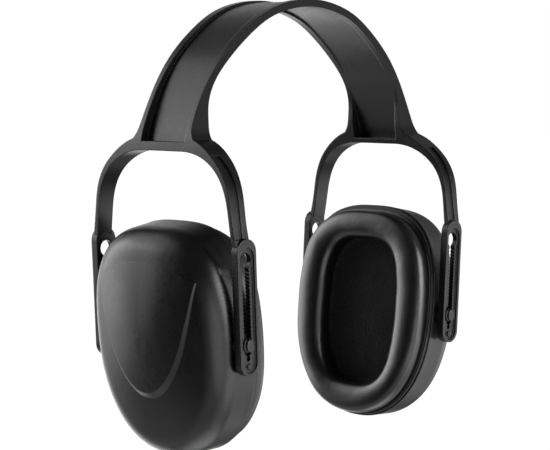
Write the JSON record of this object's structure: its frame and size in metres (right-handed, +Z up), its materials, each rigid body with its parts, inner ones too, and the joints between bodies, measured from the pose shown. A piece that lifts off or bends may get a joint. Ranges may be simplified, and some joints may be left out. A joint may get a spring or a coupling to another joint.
{
  "type": "earmuff hearing protector",
  "caption": "Over-head passive hearing protector: one-piece forked headband with toothed slide racks, tilting cups, foam liners and snap-in vinyl cushions.",
  "frame": {"origin": "midpoint between the two cups at the height of their tilt axes, with both cups at their rest height and tipped 6.5 degrees, upper edge outwards", "axes": "+Z up through the crown of the headband, X across the head with the wearer's two cups at -X and +X, -Y the front"},
  "size_m": [0.1858, 0.093, 0.2037],
  "materials": {
    "band_plastic": "satin black moulded plastic with a fine grain",
    "shell_plastic": "matt black moulded plastic with a soft sheen",
    "pin_plastic": "smooth black moulded plastic",
    "plate_plastic": "matt black moulded plastic",
    "cushion_vinyl": "soft black vinyl skin, glossy, lightly creased",
    "cushion_foam": "soft open-cell foam",
    "liner_foam": "open-cell black acoustic foam"
  },
  "bodies": {
    "band": {"headband": "band_plastic"},
    "left_slider": {"left_front_pivot_pin": "pin_plastic", "left_rear_pivot_pin": "pin_plastic"},
    "left_cup": {"left_cup_shell": "shell_plastic", "left_cushion_plate": "plate_plastic", "left_cushion_cover": "cushion_vinyl", "left_cushion_foam": "cushion_foam", "left_foam_liner": "liner_foam"},
    "right_slider": {"right_front_pivot_pin": "pin_plastic", "right_rear_pivot_pin": "pin_plastic"},
    "right_cup": {"right_cup_shell": "shell_plastic", "right_cushion_plate": "plate_plastic", "right_cushion_cover": "cushion_vinyl", "right_cushion_foam": "cushion_foam", "right_foam_liner": "liner_foam"}
  },
  "joints": [
    {"name": "left_height", "type": "slide", "parent": "band", "child": "left_slider", "axis": [-0.0558, 0, 0.9984], "range_m": [-0.0016, 0.0272]},
    {"name": "left_tilt", "type": "hinge", "parent": "left_slider", "child": "left_cup", "pos_m": [-0.0713, 0, 0], "axis": [0, -1, 0], "range_deg": [-18, 5.5]},
    {"name": "right_height", "type": "slide", "parent": "band", "child": "right_slider", "axis": [0.0558, 0, 0.9984], "range_m": [-0.0016, 0.0272]},
    {"name": "right_tilt", "type": "hinge", "parent": "right_slider", "child": "right_cup", "pos_m": [0.0713, 0, 0], "axis": [0, 1, 0], "range_deg": [-18, 5.5]}
  ]
}
